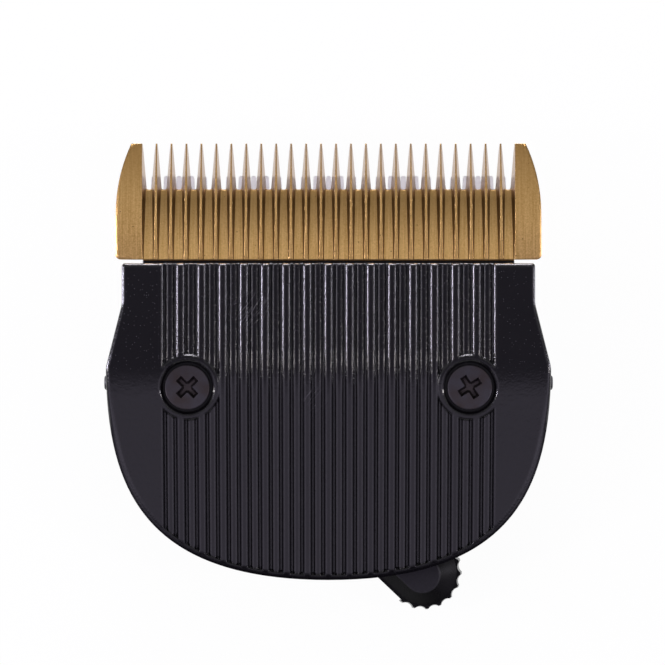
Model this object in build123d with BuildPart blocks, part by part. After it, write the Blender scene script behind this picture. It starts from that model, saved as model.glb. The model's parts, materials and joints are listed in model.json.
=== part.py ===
from build123d import *
from math import asin, atan, cos, degrees, hypot, radians, sin, tan

# Hair clipper blade head, in millimetres, lying on its back: X across, Y towards the teeth, Z up.
# The origin is midway between the two cover screws, in the rear seating face.

# Fits
running = 0.05
slide_gap = 0.08
seat_gap = 0.02
overlap = 0.5

# Comb
comb_width = 46.0
comb_tip_y = 26.40
comb_root_y = 21.43
comb_heel_y = 13.8
comb_back_z = 10.6
heel_thickness = 2.6
root_thickness = 1.6
tip_thickness = 0.22
tooth_count = 24
end_block = 2.70625
crest_width = 0.27
tip_crest = 0.14
heel_crest = 0.42
flank_angle = 15.0
heel_groove_depth = 0.35
web_thickness = 0.35
block_curve_y = 18.94
block_curve_radius = 18.2
heel_corner = 0.5
tip_bevel_back = 0.8
tip_bevel_rise = 0.1
shank_thickness = 1.0
shank_end_y = -3.6
shank_corner = 1.5

# Cover
heel_gap = 0.43
comb_overhang = 0.7
cover_waist_y = 8.98
waist_step = 1.73
cover_side_y = 2.16
cover_end_y = -21.09
side_pull = 0.549
end_pull = 0.855
waist_round = 3.0
cover_thickness = 2.2
cover_tilt = 12.0
bend_radius = 24.0
bend_y = 1.5
rim_band = 0.55
cover_edge = 0.35
rib_pitch = 2.284
rib_count = 15
rib_width = 0.9
low_rib_width = 0.75
low_rib_drop = 0.16
groove_depth = 0.5
rib_round = 0.26
lip_reach = 0.33
lip_height = 0.6

# Cover screws
screw_x = 15.25
screw_head_radius = 2.42
screw_head_height = 1.05
screw_radius = 1.3
pocket_radius = 2.78
pocket_edge = 0.25
ring_radius = 3.55
ring_round = 0.2
head_sink = 0.12
head_round = 0.12
recess_span = 2.7
recess_arm = 0.8
recess_depth = 0.85
recess_taper = 16.0
recess_core = 0.62
recess_turn = (45.0, 33.0)
insert_radius = 1.8
insert_length = 6.0

# Base
base_inset = 0.6
plate_thickness = 2.0
wall = 1.6
wall_end_y = -14.0
boss_radius = 3.0
window_half = 6.4
window_y = 4.8
window_round = 1.2
nub_radius = 0.82
nub_y = 0.4
nub_z = 6.0
nub_proud = 0.55
nub_round = 0.3
socket_x = 11.5
socket_y = -11.0
socket_length = 5.0
socket_width = 2.4
socket_depth = 1.1
catch_width = 9.0
catch_length = 2.2
catch_depth = 1.0
rear_edge = 0.4
rail_width = 2.5
rail_height = 8.6
rail_start_y = -2.4

# Lever
pivot_y = -10.5
lever_reach = 14.49
lever_rest = -43.6
lever_swing = 94.0
lever_low_z = plate_thickness + 0.1
lever_plate = 2.3
arm_share = 0.92
cam_radius = 8.8
knob_radius = 4.24
knob_shoulder = 0.28
knob_draft = 0.22
knob_valleys = 8
knob_step = 20.6
valley_depth = 0.3
valley_share = 0.85
bevel_margin = 0.12
slab_rise = 1.3
slab_half_width = 1.85
slab_shift = -0.33
pad_start = 7.6
post_radius = 2.2
washer_radius = 3.2
washer_thickness = 0.4
lever_screw_head = 2.2
lever_screw_height = 1.2
lever_screw_radius = 0.9
lever_screw_tip_z = 1.2

# Carriage
travel = 2.4
pin_radius = 1.0
pin_start = 4.6
pin_low_z = plate_thickness + 0.3
carriage_low_z = 6.0
carriage_thickness = 2.0
carriage_half = 11.4
carriage_low_y = -1.2
carriage_high_y = 15.6
carriage_round = 1.0
flange = 1.0
flange_thickness = 1.1
flange_high_y = 9.6
tail_half = 2.0
tail_low_z = lever_low_z + lever_plate + 0.5
guide_width = 1.2
guide_half = 9.0
guide_engage = 0.75

# Cutter
cutter_count = 29
cutter_tooth_share = 0.63566
cutter_tip_share = 0.38
cutter_heel_round = 1.0
cutter_set_back = 3.51
cutter_slot = 3.4
cutter_thickness = 1.4
cutter_low_y = 6.0
cutter_tip_round = 0.24
cutter_tip_relief = 0.6
cutter_play = 0.3
stroke = 1.2

# Drive yoke
yoke_half = 4.6
yoke_low_y = 6.4
yoke_high_y = 12.4
yoke_low_z = 2.4
drive_slot_half = 2.25
drive_slot_z = 7.0
peg_radius = 0.9
peg_x = 3.1
yoke_play = 0.4
yoke_round = 0.8
drive_slot_round = 0.6
peg_short = 0.2

# Spring
wire_radius = 0.45
spring_half = 8.8
spring_bar_y = 1.6
spring_arm = 8.6
spring_bend = 1.6
hook_x = 4.5
hook_width = 2.0
hook_wall = 0.7
hook_mouth = 0.7

# Levels and places that follow from the sizes above
tooth_pitch = (comb_width - 2 * end_block) / (tooth_count + 1)
cutter_pitch = tooth_pitch * 5 / 6
cutter_tooth = cutter_tooth_share * cutter_pitch
cutter_point = cutter_tip_share * cutter_pitch
cover_top_y = comb_heel_y - heel_gap
cover_top_half = comb_width / 2 - comb_overhang
cover_half = cover_top_half + waist_step
shank_half_width = cover_top_half - base_inset - wall
nub_reach = cover_half + nub_proud
shank_front_z = comb_back_z + shank_thickness
cover_front_z = shank_front_z + cover_thickness
cutter_back_z = comb_back_z - cutter_thickness
carriage_front_z = carriage_low_z + carriage_thickness
cutter_tip_y = comb_tip_y - cutter_set_back
cutter_half = (cutter_count - 1) / 2 * cutter_pitch + cutter_tooth / 2
lever_top_z = lever_low_z + lever_plate
lever_half_width = arm_share * knob_radius
post_top_z = lever_top_z + running
flank = tan(radians(flank_angle))
tilt = radians(cover_tilt)
bend_run = bend_radius * tan(tilt / 2)
bend_start = bend_y + bend_run
screw_fall = bend_radius - (bend_radius ** 2 - bend_start ** 2) ** 0.5
pocket_floor_z = cover_front_z - screw_fall - head_sink - screw_head_height


def draw_outline(inset):
    """Outline of the cover, drawn smaller by the inset into the open line builder."""
    side = cover_half - inset
    low = cover_end_y + inset
    drop = cover_side_y - low
    Line((0, cover_top_y - inset), (cover_top_half - inset, cover_top_y - inset))
    Line((cover_top_half - inset, cover_top_y - inset), (cover_top_half - inset, cover_waist_y))
    Line((cover_top_half - inset, cover_waist_y), (side, cover_side_y))
    Bezier((side, cover_side_y), (side, cover_side_y - side_pull * drop), (end_pull * side, low), (0, low))
    mirror(about=Plane.YZ)


def draw_bent(level, depth):
    """Side view of a bent plate from its top level down by a depth, drawn in the YZ plane."""
    far = cover_end_y - overlap
    near = cover_top_y + overlap
    reach = bend_start - far
    shift = bend_y + depth * tan(tilt / 2)
    top = Line((near, level), (bend_start, level))
    bend = JernArc(start=top @ 1, tangent=(-1, 0), radius=bend_radius, arc_size=cover_tilt)
    run = Line(bend @ 1, (bend @ 1) + Vector(-cos(tilt), -sin(tilt)) * reach)
    foot = Line(run @ 1, (run @ 1) + Vector(sin(tilt), -cos(tilt)) * depth)
    back = Line(foot @ 1, (shift, level - depth))
    rear = Line(back @ 1, (near, level - depth))
    Line(rear @ 1, top @ 0)


def draw_above(level):
    """Side view of all that lies above the rear of the cover, drawn in the YZ plane."""
    far = cover_end_y - overlap
    near = cover_top_y + overlap
    bent = bend_y + cover_thickness * tan(tilt / 2)
    roof = level + cover_thickness + overlap
    Polyline((near, level), (bent, level), (far, level - (bent - far) * tan(tilt)),
             (far, roof), (near, roof), close=True)


# Front cover: a bent plate trimmed to the outline
with BuildPart() as front_cover:
    with BuildSketch(Plane.YZ):
        with BuildLine():
            draw_bent(cover_front_z, cover_thickness)
        make_face()
    extrude(amount=cover_half + overlap, both=True)
    with BuildSketch():
        with BuildLine():
            draw_outline(0)
        make_face()
        waist = vertices().filter_by_position(Axis.Y, cover_side_y - 0.01, cover_waist_y + 0.01)
        fillet(waist, radius=waist_round)
        fillet(vertices().group_by(Axis.Y)[-1], radius=cover_edge)
    extrude(amount=cover_front_z + overlap, mode=Mode.INTERSECT)
    rim = faces().filter_by(lambda f: f.normal_at().Z > 0.9)
    rim_edges = edges().filter_by(lambda e: sum(1 for f in rim if e in f.edges()) == 1)
    fillet(rim_edges, radius=cover_edge)

# One run of two grooves and the low rib between them, carried along the bent front
cut_half = (rib_pitch - rib_width) / 2
low_half = low_rib_width / 2
with BuildPart() as rib_cut:
    with BuildLine() as rib_path:
        start = (0, cover_top_y + overlap, cover_front_z)
        upper = Line(start, (0, bend_start, cover_front_z))
        with BuildLine(Plane.YZ):
            turn = JernArc(start=(bend_start, cover_front_z), tangent=(-1, 0), radius=bend_radius,
                           arc_size=cover_tilt)
        fall = cover_front_z - bend_radius * (1 - cos(tilt))
        foot_y = bend_start - bend_radius * sin(tilt)
        run_y = cover_end_y - overlap
        Line((0, foot_y, fall), (0, run_y, fall - (foot_y - run_y) * tan(tilt)))
    with BuildSketch(Plane(origin=start, x_dir=(1, 0, 0), z_dir=(0, -1, 0))):
        with BuildLine():
            Line((0, overlap), (cut_half + rib_round, overlap))
            Line((cut_half + rib_round, overlap), (cut_half + rib_round, 0))
            RadiusArc((cut_half + rib_round, 0), (cut_half, -rib_round), -rib_round)
            Line((cut_half, -rib_round), (cut_half, -groove_depth))
            Line((cut_half, -groove_depth), (low_half, -groove_depth))
            Line((low_half, -groove_depth), (low_half, -low_rib_drop - rib_round))
            RadiusArc((low_half, -low_rib_drop - rib_round), (low_half - rib_round, -low_rib_drop),
                      -rib_round)
            Line((low_half - rib_round, -low_rib_drop), (0, -low_rib_drop))
            mirror(about=Plane.YZ)
        make_face()
    sweep(path=rib_path.wires()[0])

# Round islands at the screws that the grooves stop at
with BuildPart() as ring:
    with BuildSketch(Plane.YZ):
        with BuildLine():
            draw_bent(cover_front_z, cover_thickness)
        make_face()
    extrude(amount=2 * ring_radius, both=True)
    with Locations((0, 0, cover_front_z)):
        Cylinder(ring_radius, 4 * cover_thickness, mode=Mode.INTERSECT)
    ring_front = faces().filter_by(lambda f: f.normal_at().Z > 0.9)
    ring_edges = edges().filter_by(lambda e: sum(1 for f in ring_front if e in f.edges()) == 1)
    fillet(ring_edges, radius=ring_round)

with BuildPart() as rib_cuts:
    with GridLocations(rib_pitch, 1, rib_count + 1, 1):
        add(rib_cut.part)
    with Locations((-screw_x, 0, 0), (screw_x, 0, 0)):
        add(ring.part, mode=Mode.SUBTRACT)
    with BuildSketch():
        with BuildLine():
            draw_outline(rim_band)
        make_face()
        with Locations((0, cover_side_y)):
            Rectangle(2 * cover_top_half, cover_top_y, align=(Align.CENTER, Align.MIN))
    extrude(amount=2 * cover_front_z, mode=Mode.INTERSECT)

with front_cover:
    add(rib_cuts.part, mode=Mode.SUBTRACT)
    with Locations((-screw_x, 0, pocket_floor_z), (screw_x, 0, pocket_floor_z)):
        Cylinder(pocket_radius, cover_thickness, align=(Align.CENTER, Align.CENTER, Align.MIN),
                 mode=Mode.SUBTRACT)
        Cylinder(screw_radius + slide_gap, 4 * cover_thickness, mode=Mode.SUBTRACT)
    lips = edges().filter_by(lambda e: abs(hypot(abs((e @ 0.4).X) - screw_x, (e @ 0.4).Y) - pocket_radius) < 0.01)
    chamfer(lips.filter_by(lambda e: (e @ 0.4).Z > pocket_floor_z + overlap / 2), length=pocket_edge)
    with BuildSketch(Plane.XY.offset(shank_front_z)):
        with Locations((0, shank_end_y - slide_gap)):
            Rectangle(2 * (shank_half_width + slide_gap), bend_start - shank_end_y,
                      align=(Align.CENTER, Align.MIN))
    extrude(amount=-cover_thickness, mode=Mode.SUBTRACT)
    with Locations((0, cover_top_y, shank_front_z)):
        Box(2 * shank_half_width, 2 * lip_reach, lip_height, align=(Align.CENTER, Align.CENTER, Align.MIN))
front_cover.part.label = "front_cover"
export_step(front_cover.part, "parts/front_cover.step")

# Comb: a crowned bar with a thin shank that the cover clamps
root_gap = (tooth_pitch - crest_width) / 2 - root_thickness * flank
tip_gap = (tooth_pitch - tip_crest) / 2 - tip_thickness * flank
gap_flare = (tip_gap - root_gap) / (comb_tip_y - comb_root_y)
with BuildPart() as comb_gap:
    with BuildSketch(Plane.XY.offset(comb_back_z)):
        with BuildLine():
            far_gap = tip_gap + gap_flare * overlap
            Line((0, comb_root_y), (root_gap, comb_root_y))
            Line((root_gap, comb_root_y), (far_gap, comb_tip_y + overlap))
            Line((far_gap, comb_tip_y + overlap), (0, comb_tip_y + overlap))
            mirror(about=Plane.YZ)
        make_face()
        fillet(vertices().group_by(Axis.Y)[0], radius=0.8 * root_gap)
    extrude(amount=root_thickness + overlap, taper=-flank_angle)

heel_floor_z = comb_back_z + heel_thickness - heel_groove_depth
root_floor_z = comb_back_z + web_thickness
heel_floor = (tooth_pitch - heel_crest) / 2 - heel_groove_depth * flank
root_floor = (tooth_pitch - crest_width) / 2 - (root_thickness - web_thickness) * flank
floor_fall = (heel_floor_z - root_floor_z) / (comb_root_y - comb_heel_y)
floor_slim = (heel_floor - root_floor) / (comb_root_y - comb_heel_y)
with BuildPart() as comb_groove:
    for y in (comb_heel_y - overlap, comb_root_y + overlap):
        z = heel_floor_z - floor_fall * (y - comb_heel_y)
        half = heel_floor - floor_slim * (y - comb_heel_y)
        top = heel_thickness + overlap
        with BuildSketch(Plane.XZ.offset(-y)):
            Polygon((-half, z), (half, z), (half + top * flank, z + top), (-half - top * flank, z + top),
                    align=None)
    loft(ruled=True)

with BuildPart() as comb_blade:
    with BuildSketch(Plane.XY.offset(comb_back_z)):
        with BuildLine():
            Line((0, comb_heel_y), (comb_width / 2, comb_heel_y))
            side = Line((comb_width / 2, comb_heel_y), (comb_width / 2, block_curve_y))
            lean = degrees(asin((comb_tip_y - block_curve_y) / block_curve_radius))
            bow = JernArc(start=side @ 1, tangent=(0, 1), radius=block_curve_radius, arc_size=lean)
            Line(bow @ 1, (0, comb_tip_y))
            mirror(about=Plane.YZ)
        make_face()
        fillet(vertices().group_by(Axis.Y)[0].sort_by(Axis.X)[::len(vertices().group_by(Axis.Y)[0]) - 1], heel_corner)
    extrude(amount=heel_thickness)
    with BuildSketch(Plane.YZ):
        with BuildLine():
            heel = (comb_heel_y, comb_back_z + heel_thickness)
            root = (comb_root_y, comb_back_z + root_thickness)
            tip = (comb_tip_y, comb_back_z + tip_thickness)
            clear = comb_back_z + heel_thickness + overlap
            ThreePointArc(heel, root, tip)
            Polyline(tip, (comb_tip_y + overlap, tip[1]), (comb_tip_y + overlap, clear),
                     (comb_heel_y, clear), heel)
        make_face()
    extrude(amount=comb_width, both=True, mode=Mode.SUBTRACT)
    with GridLocations(tooth_pitch, 1, tooth_count + 1, 1):
        add(comb_groove.part, mode=Mode.SUBTRACT)
        add(comb_gap.part, mode=Mode.SUBTRACT)
    with BuildSketch(Plane.YZ):
        with BuildLine():
            bevel_y = comb_tip_y - tip_bevel_back
            Polyline((bevel_y, comb_back_z), (comb_tip_y, comb_back_z + tip_bevel_rise),
                     (comb_tip_y + overlap, comb_back_z + tip_bevel_rise), (comb_tip_y + overlap, comb_back_z),
                     close=True)
        make_face()
    extrude(amount=comb_width, both=True, mode=Mode.SUBTRACT)
    with BuildSketch(Plane.XY.offset(comb_back_z)):
        with Locations((0, (shank_end_y + comb_heel_y + overlap) / 2)):
            Rectangle(2 * shank_half_width, comb_heel_y + overlap - shank_end_y)
        fillet(vertices().group_by(Axis.Y)[0], radius=shank_corner)
        with Locations((-screw_x, 0), (screw_x, 0)):
            Circle(screw_radius + slide_gap, mode=Mode.SUBTRACT)
    extrude(amount=shank_thickness)
comb_blade.part.label = "comb_blade"
export_step(comb_blade.part, "parts/comb_blade.step")

# Cover screws and the inserts that they turn into
with BuildPart() as cover_screws:
    for place, turned in zip((-screw_x, screw_x), recess_turn):
        with Locations((place, 0, pocket_floor_z)):
            Cylinder(screw_head_radius, screw_head_height, align=(Align.CENTER, Align.CENTER, Align.MIN))
            Cylinder(screw_radius, pocket_floor_z - comb_back_z + insert_length,
                     align=(Align.CENTER, Align.CENTER, Align.MAX))
        with BuildSketch(Plane.XY.offset(pocket_floor_z + screw_head_height)):
            with Locations(Location((place, 0), turned)):
                Rectangle(recess_span, recess_arm)
                Rectangle(recess_arm, recess_span)
                Circle(recess_core)
        extrude(amount=-recess_depth, taper=recess_taper, mode=Mode.SUBTRACT)
    heads = edges().filter_by(GeomType.CIRCLE).group_by(Axis.Z)[-1]
    fillet(heads.filter_by(lambda e: e.radius > recess_span / 2), radius=head_round)
cover_screws.part.label = "cover_screws"
export_step(cover_screws.part, "parts/cover_screws.step")

with BuildPart() as screw_inserts:
    with Locations((-screw_x, 0, comb_back_z), (screw_x, 0, comb_back_z)):
        Cylinder(insert_radius, insert_length, align=(Align.CENTER, Align.CENTER, Align.MAX))
        Cylinder(screw_radius + seat_gap, insert_length, align=(Align.CENTER, Align.CENTER, Align.MAX),
                 mode=Mode.SUBTRACT)
screw_inserts.part.label = "screw_inserts"
export_step(screw_inserts.part, "parts/screw_inserts.step")

# Base: rear plate, side walls up to the cover, screw bosses, slide rails, lever post
groove_reach = carriage_half + flange + slide_gap
rail_inner = carriage_half + slide_gap
with BuildPart() as blade_base:
    with BuildSketch():
        with BuildLine():
            draw_outline(base_inset)
        make_face()
    extrude(amount=cover_front_z)
    with BuildSketch(Plane.XY.offset(plate_thickness)):
        with BuildLine():
            draw_outline(base_inset + wall)
        make_face()
        with Locations((0, cover_top_y)):
            Rectangle(2 * (shank_half_width - wall), 4 * wall)
        with Locations((0, wall_end_y)):
            Rectangle(2 * cover_half, -2 * cover_end_y, align=(Align.CENTER, Align.MAX))
    extrude(amount=cover_front_z, mode=Mode.SUBTRACT)
    with BuildSketch(Plane.XY.offset(plate_thickness)):
        with Locations((-screw_x, 0), (screw_x, 0)):
            Circle(boss_radius)
    extrude(amount=cover_front_z - plate_thickness)
    with BuildSketch(Plane.YZ):
        with BuildLine():
            draw_above(shank_front_z)
        make_face()
    extrude(amount=cover_half + overlap, both=True, mode=Mode.SUBTRACT)
    with BuildSketch(Plane.XY.offset(shank_front_z)):
        with Locations((0, shank_end_y - slide_gap)):
            Rectangle(2 * (shank_half_width + slide_gap), cover_top_y - shank_end_y + overlap,
                      align=(Align.CENTER, Align.MIN))
    extrude(amount=-shank_thickness, mode=Mode.SUBTRACT)
    with BuildSketch(Plane.XY.offset(plate_thickness)):
        rail_length = cover_top_y - base_inset - rail_start_y
        rail_middle = rail_inner + rail_width / 2
        with Locations((-rail_middle, rail_start_y), (rail_middle, rail_start_y)):
            Rectangle(rail_width, rail_length, align=(Align.CENTER, Align.MIN))
    extrude(amount=rail_height - plate_thickness)
    with BuildSketch(Plane.XY.offset(comb_back_z)):
        with Locations((0, cutter_low_y - cutter_play)):
            Rectangle(2 * (cutter_half + stroke + cutter_play), cover_top_y - cutter_low_y + 1,
                      align=(Align.CENTER, Align.MIN))
    extrude(amount=-cutter_thickness - cutter_play, mode=Mode.SUBTRACT)
    with BuildSketch(Plane.XY.offset(carriage_low_z - slide_gap)):
        with Locations((0, carriage_low_y - slide_gap)):
            Rectangle(2 * groove_reach, cover_top_y - carriage_low_y, align=(Align.CENTER, Align.MIN))
    extrude(amount=flange_thickness + 2 * slide_gap, mode=Mode.SUBTRACT)
    with BuildSketch():
        with Locations((0, window_y)):
            Rectangle(2 * window_half, cover_top_y - window_y, align=(Align.CENTER, Align.MIN))
        fillet(vertices().group_by(Axis.Y)[0], radius=window_round)
    extrude(amount=plate_thickness, mode=Mode.SUBTRACT)
    with BuildSketch():
        with Locations((-socket_x, socket_y), (socket_x, socket_y)):
            SlotOverall(socket_length, socket_width)
    extrude(amount=socket_depth, mode=Mode.SUBTRACT)
    with Locations((0, cover_end_y + base_inset, 0)):
        Box(catch_width, 2 * catch_length, 2 * catch_depth, mode=Mode.SUBTRACT)
    chamfer(faces().sort_by(Axis.Z)[0].outer_wire().edges(), length=rear_edge)
    with Locations((0, pivot_y, 0)):
        Cylinder(post_radius, post_top_z, align=(Align.CENTER, Align.CENTER, Align.MIN))
        with Locations((0, 0, post_top_z)):
            Cylinder(lever_screw_radius + seat_gap, 2 * (post_top_z - lever_screw_tip_z + 0.2),
                     mode=Mode.SUBTRACT)
    with Locations((-screw_x, 0, comb_back_z), (screw_x, 0, comb_back_z)):
        Cylinder(insert_radius, insert_length + 1, align=(Align.CENTER, Align.CENTER, Align.MAX),
                 mode=Mode.SUBTRACT)
    for sign in (-1, 1):
        with BuildSketch(Plane(origin=(sign * nub_reach, nub_y, nub_z), x_dir=(0, 1, 0), z_dir=(-sign, 0, 0))):
            Circle(nub_radius)
        extrude(amount=nub_reach - cover_half + base_inset + wall / 2)
    ends = edges().filter_by(GeomType.CIRCLE).filter_by(lambda e: abs(e.center().X) > cover_half)
    fillet(ends, radius=nub_round)
blade_base.part.label = "blade_base"
export_step(blade_base.part, "parts/blade_base.step")

# Adjusting lever: cam disc with a spiral slot, arm and serrated end, drawn along X and then turned
slot_turn = radians(lever_swing)
slot_pitch = travel / slot_turn
slot_half = pin_radius + running


def spiral(turned, side):
    """Point on one side of the spiral slot at an angle turned from its start."""
    reach = pin_start + slot_pitch * turned
    reach = reach + side * slot_half / cos(atan(slot_pitch / reach))
    angle = radians(90 - lever_rest) + turned
    return (reach * cos(angle), reach * sin(angle))


def draw_knob(radius):
    """Round lever end with scooped valleys over its outer part, drawn into the open sketch."""
    half = radius * radians(knob_step) * valley_share / 2
    scoop = (half ** 2 + valley_depth ** 2) / (2 * valley_depth)
    reach = radius - valley_depth + scoop
    with Locations((lever_reach, 0)):
        Circle(radius)
    for i in range(knob_valleys):
        angle = radians(knob_step) * (i - (knob_valleys - 1) / 2)
        with Locations((lever_reach + reach * cos(angle), reach * sin(angle))):
            Circle(scoop, mode=Mode.SUBTRACT)
    with Locations((lever_reach + knob_shoulder, lever_half_width)):
        Rectangle(2 * knob_radius, knob_radius, align=(Align.MAX, Align.MIN), mode=Mode.SUBTRACT)
    with Locations((lever_reach + knob_shoulder, -lever_half_width)):
        Rectangle(2 * knob_radius, knob_radius, align=(Align.MAX, Align.MAX), mode=Mode.SUBTRACT)


slot_steps = [slot_turn * i / 6 for i in range(7)]
with BuildPart() as lever_blank:
    with BuildSketch():
        Circle(cam_radius)
        Rectangle(lever_reach, 2 * lever_half_width, align=(Align.MIN, Align.CENTER))
    extrude(amount=lever_plate)
    for level, shrink in ((0, 0), (lever_plate, knob_draft)):
        with BuildSketch(Plane.XY.offset(level)):
            draw_knob(knob_radius - shrink)
    loft(ruled=True)
    with BuildSketch(Plane.XY.offset(lever_plate)):
        with Locations(((pad_start + lever_reach) / 2, 0)):
            foot_half = knob_radius - knob_draft - valley_depth - bevel_margin
            SlotCenterToCenter(lever_reach - pad_start, 2 * foot_half)
    with BuildSketch(Plane.XY.offset(lever_plate + slab_rise)):
        with Locations(((pad_start + lever_reach) / 2, slab_shift)):
            SlotCenterToCenter(lever_reach - pad_start, 2 * slab_half_width)
    loft(ruled=True)
    with BuildSketch():
        Circle(post_radius + running)
        with BuildLine():
            inner = Spline(*[spiral(t, -1) for t in slot_steps])
            outer = Spline(*[spiral(t, 1) for t in slot_steps])
            Line(inner @ 0, outer @ 0)
            Line(inner @ 1, outer @ 1)
        make_face()
        with Locations(spiral(0, 0), spiral(slot_turn, 0)):
            Circle(slot_half)
    extrude(amount=lever_plate, mode=Mode.SUBTRACT)

with BuildPart() as adjust_lever:
    with Locations(Location((0, pivot_y, lever_low_z), (0, 0, lever_rest))):
        add(lever_blank.part)
adjust_lever.part.label = "adjust_lever"
export_step(adjust_lever.part, "parts/adjust_lever.step")

with BuildPart() as lever_washer:
    with Locations((0, pivot_y, post_top_z)):
        Cylinder(washer_radius, washer_thickness, align=(Align.CENTER, Align.CENTER, Align.MIN))
        Cylinder(lever_screw_radius + slide_gap, 4 * washer_thickness, mode=Mode.SUBTRACT)
lever_washer.part.label = "lever_washer"
export_step(lever_washer.part, "parts/lever_washer.step")

with BuildPart() as lever_screw:
    with Locations((0, pivot_y, post_top_z + washer_thickness)):
        Cylinder(lever_screw_head, lever_screw_height, align=(Align.CENTER, Align.CENTER, Align.MIN))
        Cylinder(lever_screw_radius, washer_thickness + post_top_z - lever_screw_tip_z,
                 align=(Align.CENTER, Align.CENTER, Align.MAX))
        with Locations((0, 0, lever_screw_height)):
            Box(recess_span, recess_arm, 2 * recess_depth, mode=Mode.SUBTRACT)
            Box(recess_arm, recess_span, 2 * recess_depth, mode=Mode.SUBTRACT)
lever_screw.part.label = "lever_screw"
export_step(lever_screw.part, "parts/lever_screw.step")

# Carriage: a plate that slides in the rails, with a guide for the cutter, a tail for the pin and spring hooks
wire_z = carriage_front_z + wire_radius + seat_gap
with BuildPart() as cutter_carriage:
    with BuildSketch(Plane.XY.offset(carriage_low_z)):
        with Locations((0, carriage_low_y)):
            Rectangle(2 * carriage_half, carriage_high_y - carriage_low_y, align=(Align.CENTER, Align.MIN))
        fillet(vertices(), radius=carriage_round)
        with Locations((0, (yoke_low_y + yoke_high_y) / 2)):
            Rectangle(2 * (yoke_half + stroke + yoke_play), yoke_high_y - yoke_low_y + 2 * yoke_play,
                      mode=Mode.SUBTRACT)
    extrude(amount=carriage_thickness)
    with BuildSketch(Plane.XY.offset(carriage_low_z)):
        flange_y = carriage_low_y + carriage_round
        with Locations((-carriage_half, flange_y), (carriage_half, flange_y)):
            Rectangle(2 * flange, flange_high_y - flange_y, align=(Align.CENTER, Align.MIN))
    extrude(amount=flange_thickness)
    with BuildSketch(Plane.XY.offset(carriage_front_z)):
        with Locations((0, carriage_high_y - guide_width)):
            Rectangle(2 * guide_half, guide_width)
    extrude(amount=cutter_back_z - carriage_front_z + guide_engage)
    with BuildSketch(Plane.XY.offset(tail_low_z)):
        with Locations((0, pivot_y + pin_start)):
            Circle(tail_half)
        with Locations((0, pivot_y + pin_start)):
            Rectangle(2 * tail_half, carriage_low_y + carriage_round - pivot_y - pin_start,
                      align=(Align.CENTER, Align.MIN))
    extrude(amount=carriage_front_z - tail_low_z)
    with Locations((0, pivot_y + pin_start, 0)):
        Cylinder(pin_radius, 4 * carriage_front_z, mode=Mode.SUBTRACT)
    with BuildSketch(Plane.XY.offset(carriage_front_z)):
        with Locations((-hook_x, spring_bar_y), (hook_x, spring_bar_y)):
            Rectangle(hook_width, 2 * (wire_radius + hook_wall))
    extrude(amount=2 * (wire_radius + seat_gap) + hook_wall)
    with BuildSketch(Plane.YZ):
        with Locations((spring_bar_y, wire_z)):
            Circle(wire_radius + seat_gap)
            Rectangle(wire_radius + 2 * hook_wall, hook_mouth, align=(Align.MAX, Align.CENTER))
    extrude(amount=hook_x + hook_width, both=True, mode=Mode.SUBTRACT)
cutter_carriage.part.label = "cutter_carriage"
export_step(cutter_carriage.part, "parts/cutter_carriage.step")

with BuildPart() as follower_pin:
    with Locations((0, pivot_y + pin_start, pin_low_z)):
        Cylinder(pin_radius, carriage_front_z - pin_low_z, align=(Align.CENTER, Align.CENTER, Align.MIN))
    chamfer(edges().group_by(Axis.Z)[0], length=0.2)
follower_pin.part.label = "follower_pin"
export_step(follower_pin.part, "parts/follower_pin.step")

# Pressure spring: one bent wire, its bar in the hooks and its arms rising to the cutter
rise = cutter_back_z - seat_gap - wire_radius - wire_z
lift = degrees(atan(rise / spring_arm))
with BuildPart() as pressure_spring:
    spring_plane = Plane(origin=(0, spring_bar_y, wire_z), x_dir=(1, 0, 0)).rotated((lift, 0, 0))
    with BuildLine(spring_plane) as spring_line:
        FilletPolyline((-spring_half, spring_arm), (-spring_half, 0), (spring_half, 0), (spring_half, spring_arm),
                       radius=spring_bend)
    with BuildSketch(Plane(origin=spring_line.line @ 0, z_dir=spring_line.line % 0)):
        Circle(wire_radius)
    sweep(path=spring_line.wires()[0])
pressure_spring.part.label = "pressure_spring"
export_step(pressure_spring.part, "parts/pressure_spring.step")

# Cutter: round-tipped teeth, a groove for the carriage's guide and holes for the yoke's pegs
peg_y = (yoke_low_y + yoke_high_y) / 2
slot_low = (cutter_pitch - cutter_tooth) / 2
slot_high = (cutter_pitch - cutter_point) / 2
with BuildPart() as cutter_blade:
    with BuildSketch(Plane.XY.offset(cutter_back_z)):
        with Locations((0, cutter_low_y)):
            Rectangle(2 * cutter_half, cutter_tip_y - cutter_low_y, align=(Align.CENTER, Align.MIN))
        with Locations((0, cutter_tip_y - cutter_slot)):
            with GridLocations(cutter_pitch, 1, cutter_count + 1, 1):
                Polygon((-slot_low, 0), (slot_low, 0), (slot_high, cutter_slot), (-slot_high, cutter_slot),
                        align=None, mode=Mode.SUBTRACT)
        fillet(vertices().group_by(Axis.Y)[-1], radius=cutter_tip_round)
        fillet(vertices().group_by(Axis.Y)[0], radius=cutter_heel_round)
        with Locations((-peg_x, peg_y), (peg_x, peg_y)):
            Circle(peg_radius + seat_gap, mode=Mode.SUBTRACT)
    extrude(amount=cutter_thickness)
    with BuildSketch(Plane.YZ):
        with BuildLine():
            Polyline((cutter_tip_y - cutter_slot, cutter_back_z), (cutter_tip_y + overlap, cutter_back_z),
                     (cutter_tip_y + overlap, cutter_back_z + cutter_tip_relief), close=True)
        make_face()
    extrude(amount=comb_width, both=True, mode=Mode.SUBTRACT)
    with Locations((0, carriage_high_y - guide_width, cutter_back_z)):
        Box(comb_width, guide_width + 2 * running, 2 * (guide_engage + slide_gap), mode=Mode.SUBTRACT)
cutter_blade.part.label = "cutter_blade"
export_step(cutter_blade.part, "parts/cutter_blade.step")

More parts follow.
